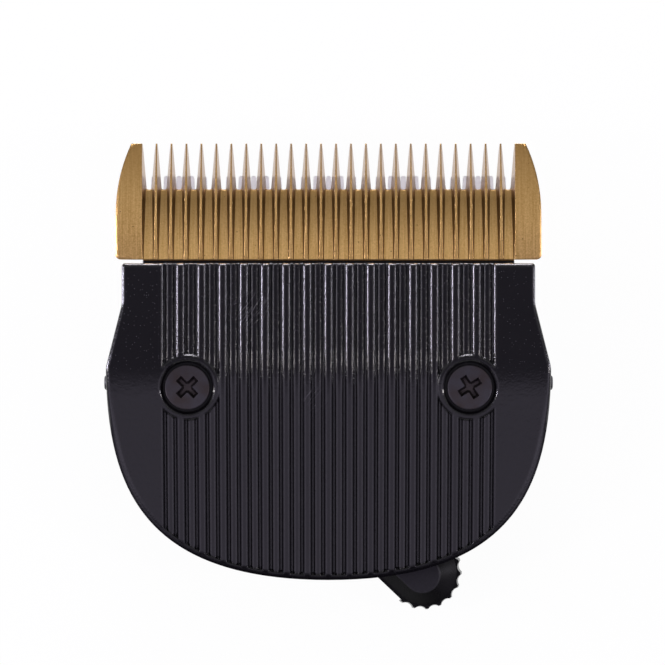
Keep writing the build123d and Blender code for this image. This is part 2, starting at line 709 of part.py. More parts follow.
# Drive yoke: a fork on the cutter's back, open to the rear for the drive pin
with BuildPart() as drive_yoke:
    with BuildSketch(Plane.XY.offset(yoke_low_z)):
        with Locations((0, peg_y)):
            RectangleRounded(2 * yoke_half, yoke_high_y - yoke_low_y, yoke_round)
    extrude(amount=cutter_back_z - yoke_low_z)
    with BuildSketch(Plane.XZ.offset(-peg_y)):
        with Locations((0, yoke_low_z - overlap)):
            Rectangle(2 * drive_slot_half, drive_slot_z - yoke_low_z + overlap, align=(Align.CENTER, Align.MIN))
        fillet(vertices().group_by(Axis.Y)[-1], radius=drive_slot_round)
    extrude(amount=yoke_high_y, both=True, mode=Mode.SUBTRACT)
    with Locations((-peg_x, peg_y, cutter_back_z), (peg_x, peg_y, cutter_back_z)):
        Cylinder(peg_radius, cutter_thickness - peg_short, align=(Align.CENTER, Align.CENTER, Align.MIN))
drive_yoke.part.label = "drive_yoke"
export_step(drive_yoke.part, "parts/drive_yoke.step")
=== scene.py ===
import json
import math

import bpy
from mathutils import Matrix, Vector

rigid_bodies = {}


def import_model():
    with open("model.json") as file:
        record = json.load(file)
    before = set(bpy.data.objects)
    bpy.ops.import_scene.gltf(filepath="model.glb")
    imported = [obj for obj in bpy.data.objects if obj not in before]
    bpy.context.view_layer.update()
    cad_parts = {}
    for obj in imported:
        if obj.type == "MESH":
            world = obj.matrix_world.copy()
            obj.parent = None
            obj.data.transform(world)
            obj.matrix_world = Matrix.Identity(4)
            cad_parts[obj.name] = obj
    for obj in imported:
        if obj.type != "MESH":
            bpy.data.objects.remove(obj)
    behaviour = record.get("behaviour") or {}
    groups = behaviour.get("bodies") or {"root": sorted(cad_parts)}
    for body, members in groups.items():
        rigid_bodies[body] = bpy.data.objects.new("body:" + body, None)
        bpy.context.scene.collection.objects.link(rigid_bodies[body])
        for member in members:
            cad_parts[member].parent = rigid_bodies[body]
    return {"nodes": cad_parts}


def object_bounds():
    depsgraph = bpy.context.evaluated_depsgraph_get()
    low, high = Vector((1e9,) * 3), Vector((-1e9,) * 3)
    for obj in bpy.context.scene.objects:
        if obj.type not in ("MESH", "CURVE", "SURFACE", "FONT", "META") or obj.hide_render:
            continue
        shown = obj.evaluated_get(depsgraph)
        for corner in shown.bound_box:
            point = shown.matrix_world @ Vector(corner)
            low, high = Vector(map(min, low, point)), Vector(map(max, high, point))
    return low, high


for stray in list(bpy.data.objects):
    bpy.data.objects.remove(stray)
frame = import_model()
bpy.context.view_layer.update()
cad_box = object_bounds()
nodes = frame["nodes"]

MM = 0.001

# Places that the patterns follow: x runs across the ribs, y towards the teeth, z up from the back
COVER_TOP_Z = 13.8 * MM
BEND_Y = 1.5 * MM  # below this line the cover leans back
LEAN = math.radians(12)
RIB_HALF_PITCH = 1.142 * MM  # half the way from one tall rib to the next
GROOVE_X = 0.6085 * MM  # the middle of a groove, from the middle of a tall rib
LOW_RIB_X = 0.68 * MM, 0.76 * MM  # from inside a groove to the foot of its low rib, measured the same way
HOLLOW_TOP_Y = 13.0 * MM  # the groove hollows end here, short of the cover's upper edge
SCREW_X = 15.25 * MM
SCREW_POCKET = 3.2 * MM  # radius that takes in a screw's pocket, which is deep but no groove
WIDEST_Y = 2.16 * MM  # the cover's lower outline starts here on both sides
OUTLINE_X, OUTLINE_Y = 24.03, 23.25  # its half width and its drop, in mm
OUTLINE_SIDE, OUTLINE_FOOT = 0.549, 0.855  # its handles, as shares of the drop and of the half width
RECESS_Z = 13.2 * MM, 12.95 * MM  # between these a screw's recess takes over from its head
PAD_Z = 5.55 * MM, 5.65 * MM  # between these the lever's grained pad takes over from its slopes
COMB_BACK_Z = 10.6 * MM
ROOT_Y = 21.43 * MM  # roots of the comb's gaps
MIDWAY_RISE = 0.97 * MM  # midway from gap floor to tooth crest, over the comb's back at the roots
MIDWAY_SLOPE = 0.191  # how that rises towards the heel
BLOCK_X = 20.9 * MM, 21.3 * MM  # between these an end block takes over from its toothed inner side

# Depth of the finest relief of every finish
FINE = 0.02 * MM


def linear(code):
    """An sRGB hex colour as linear RGBA."""
    parts = [int(code[i:i + 2], 16) / 255 for i in (1, 3, 5)]
    return [c / 12.92 if c <= 0.04045 else ((c + 0.055) / 1.055) ** 2.4 for c in parts] + [1.0]


def per_mm(*sizes):
    """Scale factors that make one unit of a pattern the given sizes in millimetres."""
    return [1 / (size * MM) for size in sizes]


def put(tree, kind, inputs, **settings):
    """Adds a node with its settings; an input takes a number, a colour or the socket that feeds it."""
    node = tree.nodes.new(kind)
    for name, value in settings.items():
        setattr(node, name, value)
    for name, value in inputs.items():
        if isinstance(value, bpy.types.NodeSocket):
            tree.links.new(value, node.inputs[name])
        else:
            node.inputs[name].default_value = value
    return node


def begin(name):
    """A new material with an empty node tree."""
    material = bpy.data.materials.new(name)
    material.use_nodes = True
    material.node_tree.nodes.clear()
    return material, material.node_tree


# Black lacquer sprayed on die-cast zinc: a deep cool black with a wet shine. The film's orange peel breaks
# the edge lights into beads, dust lies on the upper face, and two handled places carry fine slanting
# scratches.
def lacquered_zinc():
    material, tree = begin("black_lacquer_sprayed_on_cast_zinc")
    place = put(tree, "ShaderNodeTexCoord", {}).outputs["Object"]
    axes = put(tree, "ShaderNodeSeparateXYZ", {0: place})

    # Orange peel in short and long waves, and broad clouds of gloss. The short waves are drawn at 0.2 mm,
    # coarser than the finest real ones of about 0.1 mm, so that they show.
    peel_place = put(tree, "ShaderNodeMapping", {"Vector": place, "Scale": per_mm(0.2, 0.2, 0.2)})
    peel = put(tree, "ShaderNodeTexNoise", {"Vector": peel_place.outputs[0], "Scale": 1.0, "Detail": 1.0})
    hide_place = put(tree, "ShaderNodeMapping", {"Vector": place, "Scale": per_mm(0.7, 0.45, 0.6)})
    hide = put(tree, "ShaderNodeTexNoise", {"Vector": hide_place.outputs[0], "Scale": 1.0, "Detail": 2.0})
    cloud_place = put(tree, "ShaderNodeMapping", {"Vector": place, "Scale": per_mm(6, 6, 6)})
    cloud = put(tree, "ShaderNodeTexNoise", {"Vector": cloud_place.outputs[0], "Scale": 1.0, "Detail": 4.0})
    relief = put(tree, "ShaderNodeMath", {0: hide.outputs["Fac"], 1: 1.2, 2: peel.outputs["Fac"]},
                 operation="MULTIPLY_ADD")

    # Dust on the upper face: specks about 0.07 mm wide, coarser than most real dust, in three cells of ten
    speck_place = put(tree, "ShaderNodeMapping", {"Vector": place, "Scale": per_mm(0.22, 0.22, 0.22)})
    speck = put(tree, "ShaderNodeTexVoronoi", {"Vector": speck_place.outputs[0], "Scale": 1.0})
    small = put(tree, "ShaderNodeMath", {0: speck.outputs["Distance"], 1: 0.17}, operation="LESS_THAN")
    pick = put(tree, "ShaderNodeSeparateColor", {0: speck.outputs["Color"]})
    few = put(tree, "ShaderNodeMath", {0: pick.outputs[0], 1: 0.7}, operation="GREATER_THAN")
    upper = put(tree, "ShaderNodeMapRange", {
        "Value": axes.outputs["Y"], "From Min": -1 * MM, "From Max": 4 * MM})
    dust = small
    for mask in (few, upper):
        dust = put(tree, "ShaderNodeMath", {0: dust.outputs[0], 1: mask.outputs[0]}, operation="MULTIPLY")

    # Scratches: thin contour lines of a long noise, kept to two patches
    slant = put(tree, "ShaderNodeMapping", {
        "Vector": place, "Rotation": (0, 0, math.radians(-38)), "Scale": (0.5 * MM, 6 * MM, 6 * MM)},
        vector_type="TEXTURE")
    long = put(tree, "ShaderNodeTexNoise", {"Vector": slant.outputs[0], "Scale": 1.0, "Detail": 1.0})
    thin = put(tree, "ShaderNodeMath", {0: long.outputs["Fac"], 1: 0.5, 2: 0.014}, operation="COMPARE")
    patches = []
    for centre, outside, inside in (
            ((-8.3 * MM, 8.4 * MM, 13.7 * MM), 2.4 * MM, 0.8 * MM),
            ((-1.5 * MM, -1.3 * MM, 13.4 * MM), 1.6 * MM, 0.5 * MM)):
        near = put(tree, "ShaderNodeVectorMath", {0: place, 1: centre}, operation="DISTANCE")
        patches.append(put(tree, "ShaderNodeMapRange", {
            "Value": near.outputs["Value"], "From Min": outside, "From Max": inside}))
    patch = put(tree, "ShaderNodeMath", {0: patches[0].outputs[0], 1: patches[1].outputs[0]},
                operation="MAXIMUM")
    scratch = put(tree, "ShaderNodeMath", {0: thin.outputs[0], 1: patch.outputs[0]}, operation="MULTIPLY")
    mark = put(tree, "ShaderNodeMath", {0: scratch.outputs[0], 1: dust.outputs[0]}, operation="MAXIMUM")
    faint = put(tree, "ShaderNodeMath", {0: mark.outputs[0], 1: 0.13}, operation="MULTIPLY")

    # Dust and scratches are paler and duller than the film
    body = put(tree, "ShaderNodeMix", {
        "Factor": cloud.outputs["Fac"], "A": linear("#08070a"), "B": linear("#0e0d11")}, data_type="RGBA")
    colour = put(tree, "ShaderNodeMix", {
        "Factor": faint.outputs[0], "A": body.outputs["Result"], "B": linear("#a9a3ae")}, data_type="RGBA")
    gloss = put(tree, "ShaderNodeMapRange", {
        "Value": cloud.outputs["Fac"], "From Min": 0.3, "From Max": 0.7, "To Min": 0.1, "To Max": 0.15})
    rough = put(tree, "ShaderNodeMath", {0: mark.outputs[0], 1: 0.3, 2: gloss.outputs[0]},
                operation="MULTIPLY_ADD")

    # Depth under the cover's face, which finds the groove floors away from the screw pockets
    fall = put(tree, "ShaderNodeMath", {0: BEND_Y, 1: axes.outputs["Y"]}, operation="SUBTRACT")
    fall = put(tree, "ShaderNodeMath", {0: fall.outputs[0], 1: 0.0}, operation="MAXIMUM")
    top = put(tree, "ShaderNodeMath", {0: fall.outputs[0], 1: -math.tan(LEAN), 2: COVER_TOP_Z},
              operation="MULTIPLY_ADD")
    depth = put(tree, "ShaderNodeMath", {0: top.outputs[0], 1: axes.outputs["Z"]}, operation="SUBTRACT")
    sunk = put(tree, "ShaderNodeMapRange", {
        "Value": depth.outputs[0], "From Min": 0.3 * MM, "From Max": 0.42 * MM})
    aside = put(tree, "ShaderNodeMath", {0: axes.outputs["X"]}, operation="ABSOLUTE")
    beside = put(tree, "ShaderNodeMath", {0: aside.outputs[0], 1: SCREW_X}, operation="SUBTRACT")
    spot = put(tree, "ShaderNodeCombineXYZ", {"X": beside.outputs[0], "Y": axes.outputs["Y"]})
    clear = put(tree, "ShaderNodeVectorMath", {0: spot.outputs[0]}, operation="LENGTH")
    clear = put(tree, "ShaderNodeMath", {0: clear.outputs["Value"], 1: SCREW_POCKET},
                operation="GREATER_THAN")
    inner = put(tree, "ShaderNodeMath", {0: axes.outputs["Y"], 1: HOLLOW_TOP_Y}, operation="LESS_THAN")
    for mask in (clear, inner):
        sunk = put(tree, "ShaderNodeMath", {0: sunk.outputs[0], 1: mask.outputs[0]}, operation="MULTIPLY")

    # Lacquer pools in the grooves: each floor is a hollow between its walls, and so darker than the ribs
    hollow_curve = 2000.0  # rise over the square of the way from the groove's middle, per metre
    across = put(tree, "ShaderNodeMath", {0: axes.outputs["X"], 1: -RIB_HALF_PITCH, 2: RIB_HALF_PITCH},
                 operation="WRAP")
    across = put(tree, "ShaderNodeMath", {0: across.outputs[0]}, operation="ABSOLUTE")
    astray = put(tree, "ShaderNodeMath", {0: across.outputs[0], 1: GROOVE_X}, operation="SUBTRACT")
    hollow = put(tree, "ShaderNodeMath", {0: astray.outputs[0], 1: 2.0}, operation="POWER")
    hollow = put(tree, "ShaderNodeMath", {0: hollow.outputs[0], 1: sunk.outputs[0]}, operation="MULTIPLY")

    # Distance inside the lower outline, which a curve gives by its reach from the middle of the cover
    curve_steps = 12
    curve_unit = 40  # mm for a curve value of 1
    low = put(tree, "ShaderNodeMath", {0: WIDEST_Y, 1: axes.outputs["Y"]}, operation="SUBTRACT")
    arm = put(tree, "ShaderNodeCombineXYZ", {"X": aside.outputs[0], "Y": low.outputs[0]})
    arm = put(tree, "ShaderNodeVectorMath", {0: arm.outputs[0]}, operation="LENGTH")
    turn = put(tree, "ShaderNodeMath", {0: aside.outputs[0], 1: low.outputs[0]}, operation="ARCTAN2")
    turn = put(tree, "ShaderNodeMath", {0: turn.outputs[0], 1: math.pi / 2}, operation="DIVIDE")
    reach = put(tree, "ShaderNodeFloatCurve", {"Value": turn.outputs[0]})
    line = reach.mapping.curves[0]
    for step in range(curve_steps + 1):
        t = step / curve_steps
        b = ((1 - t) ** 3, 3 * t * (1 - t) ** 2, 3 * t ** 2 * (1 - t), t ** 3)
        x = OUTLINE_X * (b[0] + b[1] + OUTLINE_FOOT * b[2])
        y = OUTLINE_Y * (OUTLINE_SIDE * b[1] + b[2] + b[3])
        where = (math.atan2(x, y) / (math.pi / 2), math.hypot(x, y) / curve_unit)
        if step in (0, curve_steps):
            line.points[1 if step == 0 else 0].location = where
        else:
            line.points.new(*where)
    reach.mapping.update()
    inset = put(tree, "ShaderNodeMath", {0: reach.outputs[0], 1: curve_unit * MM}, operation="MULTIPLY")
    inset = put(tree, "ShaderNodeMath", {0: inset.outputs[0], 1: arm.outputs["Value"]},
                operation="SUBTRACT")

    # The film rounds every edge, and rounds the low ribs into gentle swells
    plain = put(tree, "ShaderNodeNewGeometry", {}).outputs["Normal"]
    facing = put(tree, "ShaderNodeSeparateXYZ", {0: plain})
    front = put(tree, "ShaderNodeMath", {0: facing.outputs["Z"], 1: 0.4}, operation="GREATER_THAN")
    within = put(tree, "ShaderNodeMath", {0: inset.outputs[0], 1: 0.8 * MM}, operation="GREATER_THAN")
    swell = put(tree, "ShaderNodeMapRange", {
        "Value": across.outputs[0], "From Min": LOW_RIB_X[0], "From Max": LOW_RIB_X[1], "To Max": 0.5})
    for mask in (front, within):
        swell = put(tree, "ShaderNodeMath", {0: swell.outputs[0], 1: mask.outputs[0]}, operation="MULTIPLY")
    gentle = put(tree, "ShaderNodeMath", {0: 1.0, 1: swell.outputs[0]}, operation="SUBTRACT")
    edge = put(tree, "ShaderNodeBevel", {"Radius": 0.3 * MM}, samples=6)
    slope = put(tree, "ShaderNodeSeparateXYZ", {0: edge.outputs[0]})
    eased = put(tree, "ShaderNodeMath", {0: slope.outputs["X"], 1: gentle.outputs[0]}, operation="MULTIPLY")
    edge = put(tree, "ShaderNodeCombineXYZ", {
        "X": eased.outputs[0], "Y": slope.outputs["Y"], "Z": slope.outputs["Z"]})
    edge = put(tree, "ShaderNodeVectorMath", {0: edge.outputs[0]}, operation="NORMALIZE")
    pool = put(tree, "ShaderNodeBump", {
        "Height": hollow.outputs[0], "Strength": 1.0, "Distance": hollow_curve, "Normal": edge.outputs[0]})

    # The lower rim rolls over towards the outline
    roll_width = 0.9 * MM
    roll_depth = 0.27 * MM
    lower = put(tree, "ShaderNodeMapRange", {
        "Value": axes.outputs["Y"], "From Min": 0.0, "From Max": -6 * MM})
    roll = put(tree, "ShaderNodeMapRange", {
        "Value": inset.outputs[0], "From Min": roll_width, "From Max": 0.0})
    roll = put(tree, "ShaderNodeMath", {0: roll.outputs[0], 1: 2.0}, operation="POWER")
    roll = put(tree, "ShaderNodeMath", {0: roll.outputs[0], 1: lower.outputs[0]}, operation="MULTIPLY")
    shape = put(tree, "ShaderNodeBump", {
        "Height": roll.outputs[0], "Strength": 1.0, "Distance": -roll_depth, "Normal": pool.outputs[0]})
    shape = put(tree, "ShaderNodeMix", {
        "Factor": front.outputs[0], "A": edge.outputs[0], "B": shape.outputs[0]}, data_type="VECTOR")

    # The rim ends in a crisp lip, so its last rounding counts for less
    upward = put(tree, "ShaderNodeMath", {0: facing.outputs["Z"], 1: 0.05}, operation="GREATER_THAN")
    lip = put(tree, "ShaderNodeMapRange", {
        "Value": inset.outputs[0], "From Min": 0.7 * MM, "From Max": 0.35 * MM})
    for mask in (lower, upward):
        lip = put(tree, "ShaderNodeMath", {0: lip.outputs[0], 1: mask.outputs[0]}, operation="MULTIPLY")
    parts = put(tree, "ShaderNodeSeparateXYZ", {0: shape.outputs["Result"]})
    high = put(tree, "ShaderNodeMath", {0: lip.outputs[0], 1: 1.25}, operation="MULTIPLY")
    high = put(tree, "ShaderNodeMath", {0: parts.outputs["Z"], 1: high.outputs[0]}, operation="MAXIMUM")
    shape = put(tree, "ShaderNodeCombineXYZ", {
        "X": parts.outputs["X"], "Y": parts.outputs["Y"], "Z": high.outputs[0]})
    shape = put(tree, "ShaderNodeVectorMath", {0: shape.outputs[0]}, operation="NORMALIZE")

    bump = put(tree, "ShaderNodeBump", {
        "Height": relief.outputs[0], "Strength": 0.6, "Distance": FINE, "Normal": shape.outputs[0]})
    shader = put(tree, "ShaderNodeBsdfPrincipled", {
        "Base Color": colour.outputs["Result"], "Roughness": rough.outputs[0], "IOR": 1.5,
        "Normal": bump.outputs[0]})
    put(tree, "ShaderNodeOutputMaterial", {"Surface": shader.outputs[0]})
    return material


# Titanium nitride on ground steel: satin gold with fine grinding lines that run towards the teeth and a sandy
# grain. The film thins on the steep tooth sides, where the grey of the steel comes through, and the edges
# catch a fine light.
def nitride_gold():
    material, tree = begin("titanium_nitride_on_ground_steel")
    source = put(tree, "ShaderNodeTexCoord", {})
    place = source.outputs["Object"]
    axes = put(tree, "ShaderNodeSeparateXYZ", {0: place})
    outer = put(tree, "ShaderNodeMath", {0: axes.outputs["X"]}, operation="ABSOLUTE")

    # Grinding lines and sandy grain, drawn coarser than the real 0.02 to 0.05 mm, which no view can show
    line_place = put(tree, "ShaderNodeMapping", {"Vector": place, "Scale": per_mm(0.13, 5, 5)})
    line = put(tree, "ShaderNodeTexNoise", {"Vector": line_place.outputs[0], "Scale": 1.0, "Detail": 2.0})
    sand_place = put(tree, "ShaderNodeMapping", {"Vector": place, "Scale": per_mm(0.17, 0.17, 0.17)})
    sand = put(tree, "ShaderNodeTexNoise", {"Vector": sand_place.outputs[0], "Scale": 1.0, "Detail": 2.0})
    tone = put(tree, "ShaderNodeMath", {0: sand.outputs["Fac"], 1: line.outputs["Fac"]}, operation="ADD")
    tone = put(tree, "ShaderNodeMapRange", {"Value": tone.outputs[0], "From Min": 0.7, "From Max": 1.3})
    rough = put(tree, "ShaderNodeMapRange", {
        "Value": sand.outputs["Fac"], "From Min": 0.3, "From Max": 0.7, "To Min": 0.32, "To Max": 0.42})
    relief = put(tree, "ShaderNodeMath", {0: sand.outputs["Fac"], 1: 0.6, 2: line.outputs["Fac"]},
                 operation="MULTIPLY_ADD")

    # Pits 0.14 mm wide, in four cells of ten
    pit_place = put(tree, "ShaderNodeMapping", {"Vector": place, "Scale": per_mm(0.7, 0.7, 0.7)})
    pit = put(tree, "ShaderNodeTexVoronoi", {"Vector": pit_place.outputs[0], "Scale": 1.0})
    small = put(tree, "ShaderNodeMath", {0: pit.outputs["Distance"], 1: 0.1}, operation="LESS_THAN")
    pick = put(tree, "ShaderNodeSeparateColor", {0: pit.outputs["Color"]})
    few = put(tree, "ShaderNodeMath", {0: pick.outputs[0], 1: 0.6}, operation="GREATER_THAN")
    pits = put(tree, "ShaderNodeMath", {0: small.outputs[0], 1: few.outputs[0]}, operation="MULTIPLY")

    # Bare steel on the steep sides of the free teeth
    facing = put(tree, "ShaderNodeSeparateXYZ", {0: source.outputs["Normal"]})
    steep = put(tree, "ShaderNodeMath", {0: facing.outputs["X"]}, operation="ABSOLUTE")
    thin = put(tree, "ShaderNodeMapRange", {
        "Value": steep.outputs[0], "From Min": 0.5, "From Max": 0.9, "To Max": 0.8})
    free = put(tree, "ShaderNodeMapRange", {
        "Value": axes.outputs["Y"], "From Min": 20.4 * MM, "From Max": 22.0 * MM})
    toothed = put(tree, "ShaderNodeMath", {0: outer.outputs[0], 1: BLOCK_X[1]}, operation="LESS_THAN")
    bare = thin
    for mask in (free, toothed):
        bare = put(tree, "ShaderNodeMath", {0: bare.outputs[0], 1: mask.outputs[0]}, operation="MULTIPLY")

    # Painted shade darkens the steep flanks of the gaps, and their floors towards the roots, where the teeth
    # shade them
    midway = put(tree, "ShaderNodeMath", {
        0: axes.outputs["Y"], 1: -MIDWAY_SLOPE, 2: COMB_BACK_Z + MIDWAY_RISE + ROOT_Y * MIDWAY_SLOPE},
        operation="MULTIPLY_ADD")
    under = put(tree, "ShaderNodeMath", {0: midway.outputs[0], 1: axes.outputs["Z"]}, operation="SUBTRACT")
    gap = put(tree, "ShaderNodeMapRange", {
        "Value": under.outputs[0], "From Min": -0.05 * MM, "From Max": 0.1 * MM})
    deep = put(tree, "ShaderNodeMapRange", {
        "Value": axes.outputs["Y"], "From Min": 15.2 * MM, "From Max": 21.4 * MM, "To Max": 0.5})
    held = put(tree, "ShaderNodeMath", {0: 1.0, 1: free.outputs[0]}, operation="SUBTRACT")
    painted_gap_shade = put(tree, "ShaderNodeMath", {0: gap.outputs[0], 1: deep.outputs[0]}, operation="MULTIPLY")
    painted_gap_shade = put(tree, "ShaderNodeMath", {0: painted_gap_shade.outputs[0], 1: thin.outputs[0]}, operation="MAXIMUM")
    painted_gap_shade = put(tree, "ShaderNodeMath", {0: painted_gap_shade.outputs[0], 1: held.outputs[0]}, operation="MULTIPLY")

    # Each share lays its colour over the one before: pits, the painted shade at the tips, the painted shade
    # in the gaps, bare steel
    # Painted shade: the gold is coloured darker towards the tips, where the sloping face turns away from the
    # light
    painted_tip_shade = put(tree, "ShaderNodeMapRange", {
        "Value": axes.outputs["Y"], "From Min": 17 * MM, "From Max": 26 * MM, "To Max": 0.85})
    colour = put(tree, "ShaderNodeMix", {
        "Factor": tone.outputs[0], "A": linear("#c0975a"), "B": linear("#e3ba7d")}, data_type="RGBA")
    for over, code in ((pits, "#8a6c40"), (painted_tip_shade, "#967545"), (painted_gap_shade, "#4a3822"), (bare, "#d0c2b8")):
        colour = put(tree, "ShaderNodeMix", {
            "Factor": over.outputs[0], "A": colour.outputs["Result"], "B": linear(code)}, data_type="RGBA")

    # The end blocks are tumbled rounder than the teeth
    ease = put(tree, "ShaderNodeMapRange", {
        "Value": outer.outputs[0], "From Min": BLOCK_X[0], "From Max": BLOCK_X[1],
        "To Min": 0.06 * MM, "To Max": 0.45 * MM})
    edge = put(tree, "ShaderNodeBevel", {"Radius": ease.outputs[0]}, samples=4)
    bump = put(tree, "ShaderNodeBump", {
        "Height": relief.outputs[0], "Strength": 0.2, "Distance": FINE, "Normal": edge.outputs[0]})
    shader = put(tree, "ShaderNodeBsdfPrincipled", {
        "Base Color": colour.outputs["Result"], "Metallic": 1.0, "Roughness": rough.outputs[0],
        "Normal": bump.outputs[0]})
    put(tree, "ShaderNodeOutputMaterial", {"Surface": shader.outputs[0]})
    return material


# Black oxide on turned steel: a brownish charcoal head with faint rings from the lathe, duller than the
# lacquer. The recess is painted a shade paler than the head: painted light that lifts the shade in it.
def oxide_steel():
    material, tree = begin("black_oxide_on_turned_steel")
    place = put(tree, "ShaderNodeTexCoord", {}).outputs["Object"]
    axes = put(tree, "ShaderNodeSeparateXYZ", {0: place})

    # Turning rings round each screw, drawn 0.22 mm apart, coarser than a real feed of about 0.08 mm
    out = put(tree, "ShaderNodeMath", {0: axes.outputs["X"]}, operation="ABSOLUTE")
    off = put(tree, "ShaderNodeMath", {0: out.outputs[0], 1: SCREW_X}, operation="SUBTRACT")
    flat = put(tree, "ShaderNodeCombineXYZ", {"X": off.outputs[0], "Y": axes.outputs["Y"]})
    radius = put(tree, "ShaderNodeVectorMath", {0: flat.outputs[0]}, operation="LENGTH")
    phase = put(tree, "ShaderNodeMath", {0: radius.outputs["Value"], 1: 2 * math.pi / (0.22 * MM)},
                operation="MULTIPLY")
    ring = put(tree, "ShaderNodeMath", {0: phase.outputs[0]}, operation="SINE")

    # Stains of the oxide bath, and its grain, drawn at 0.2 mm, coarser than a real one of about 0.05 mm
    stain_place = put(tree, "ShaderNodeMapping", {"Vector": place, "Scale": per_mm(1.6, 1.6, 1.6)})
    stain = put(tree, "ShaderNodeTexNoise", {"Vector": stain_place.outputs[0], "Scale": 1.0, "Detail": 4.0})
    grain_place = put(tree, "ShaderNodeMapping", {"Vector": place, "Scale": per_mm(0.2, 0.2, 0.2)})
    grain = put(tree, "ShaderNodeTexNoise", {"Vector": grain_place.outputs[0], "Scale": 1.0, "Detail": 2.0})
    spread = put(tree, "ShaderNodeMapRange", {
        "Value": stain.outputs["Fac"], "From Min": 0.35, "From Max": 0.65})
    # Painted light: inside the recess the colour turns paler, lifting its shade
    sunk = put(tree, "ShaderNodeMapRange", {
        "Value": axes.outputs["Z"], "From Min": RECESS_Z[0], "From Max": RECESS_Z[1]})
    colour = put(tree, "ShaderNodeMix", {
        "Factor": spread.outputs[0], "A": linear("#46444a"), "B": linear("#413b3c")}, data_type="RGBA")
    colour = put(tree, "ShaderNodeMix", {
        "Factor": sunk.outputs[0], "A": colour.outputs["Result"], "B": linear("#4c4648")}, data_type="RGBA")
    rough = put(tree, "ShaderNodeMapRange", {
        "Value": grain.outputs["Fac"], "From Min": 0.3, "From Max": 0.7, "To Min": 0.46, "To Max": 0.6})
    relief = put(tree, "ShaderNodeMath", {0: ring.outputs[0], 1: 0.15, 2: grain.outputs["Fac"]},
                 operation="MULTIPLY_ADD")
    edge = put(tree, "ShaderNodeBevel", {"Radius": 0.08 * MM}, samples=4)
    bump = put(tree, "ShaderNodeBump", {
        "Height": relief.outputs[0], "Strength": 0.15, "Distance": FINE, "Normal": edge.outputs[0]})
    shader = put(tree, "ShaderNodeBsdfPrincipled", {
        "Base Color": colour.outputs["Result"], "Metallic": 1.0, "Roughness": rough.outputs[0],
        "Normal": bump.outputs[0]})
    put(tree, "ShaderNodeOutputMaterial", {"Surface": shader.outputs[0]})
    return material


# Black acetal from a mould: the raised thumb pad was left with a spark-eroded dull grain and looks greyer,
# while the slopes and the serrated rim came off polished steel and look darker and wetter
def moulded_acetal():
    material, tree = begin("black_acetal_moulded_grained_and_polished")
    place = put(tree, "ShaderNodeTexCoord", {}).outputs["Object"]
    axes = put(tree, "ShaderNodeSeparateXYZ", {0: place})
    pad = put(tree, "ShaderNodeMapRange", {
        "Value": axes.outputs["Z"], "From Min": PAD_Z[0], "From Max": PAD_Z[1]})
    # The spark-eroded grain is drawn at 0.2 mm, coarser than a real one of about 0.05 mm
    grain_place = put(tree, "ShaderNodeMapping", {"Vector": place, "Scale": per_mm(0.2, 0.2, 0.2)})
    grain = put(tree, "ShaderNodeTexNoise", {"Vector": grain_place.outputs[0], "Scale": 1.0, "Detail": 3.0})
    flow_place = put(tree, "ShaderNodeMapping", {"Vector": place, "Scale": per_mm(2.5, 2.5, 2.5)})
    flow = put(tree, "ShaderNodeTexNoise", {"Vector": flow_place.outputs[0], "Scale": 1.0, "Detail": 3.0})
    wet = put(tree, "ShaderNodeMix", {
        "Factor": flow.outputs["Fac"], "A": linear("#050506"), "B": linear("#0a090b")}, data_type="RGBA")
    dull = put(tree, "ShaderNodeMix", {
        "Factor": grain.outputs["Fac"], "A": linear("#19181d"), "B": linear("#26242b")}, data_type="RGBA")
    colour = put(tree, "ShaderNodeMix", {
        "Factor": pad.outputs[0], "A": wet.outputs["Result"], "B": dull.outputs["Result"]},
        data_type="RGBA")
    low = put(tree, "ShaderNodeMapRange", {"Value": flow.outputs["Fac"], "To Min": 0.22, "To Max": 0.34})
    rough = put(tree, "ShaderNodeMath", {0: pad.outputs[0], 1: 0.28, 2: low.outputs[0]},
                operation="MULTIPLY_ADD")
    bump = put(tree, "ShaderNodeBump", {
        "Height": grain.outputs["Fac"], "Strength": 0.15, "Distance": FINE})
    shader = put(tree, "ShaderNodeBsdfPrincipled", {
        "Base Color": colour.outputs["Result"], "Roughness": rough.outputs[0], "IOR": 1.48,
        "Specular IOR Level": 0.22, "Normal": bump.outputs[0]})
    put(tree, "ShaderNodeOutputMaterial", {"Surface": shader.outputs[0]})
    return material


# Zirconia sintered and ground: milky near-white that lets light through its thin teeth, with fine lines
# across them. The lines are drawn at 0.2 mm, coarser than real ones of about 0.02 mm.
def ground_zirconia():
    material, tree = begin("zirconia_sintered_and_ground")
    place = put(tree, "ShaderNodeTexCoord", {}).outputs["Object"]
    line_place = put(tree, "ShaderNodeMapping", {"Vector": place, "Scale": per_mm(4, 0.2, 0.2)})
    line = put(tree, "ShaderNodeTexNoise", {"Vector": line_place.outputs[0], "Scale": 1.0, "Detail": 2.0})
    colour = put(tree, "ShaderNodeMix", {
        "Factor": line.outputs["Fac"], "A": linear("#f0eaf2"), "B": linear("#f8f3f8")}, data_type="RGBA")
    rough = put(tree, "ShaderNodeMapRange", {"Value": line.outputs["Fac"], "To Min": 0.3, "To Max": 0.45})
    bump = put(tree, "ShaderNodeBump", {
        "Height": line.outputs["Fac"], "Strength": 0.05, "Distance": FINE})
    shader = put(tree, "ShaderNodeBsdfPrincipled", {
        "Base Color": colour.outputs["Result"], "Roughness": rough.outputs[0], "IOR": 2.1,
        "Transmission Weight": 0.9, "Normal": bump.outputs[0]})
    put(tree, "ShaderNodeOutputMaterial", {"Surface": shader.outputs[0]})
    return material


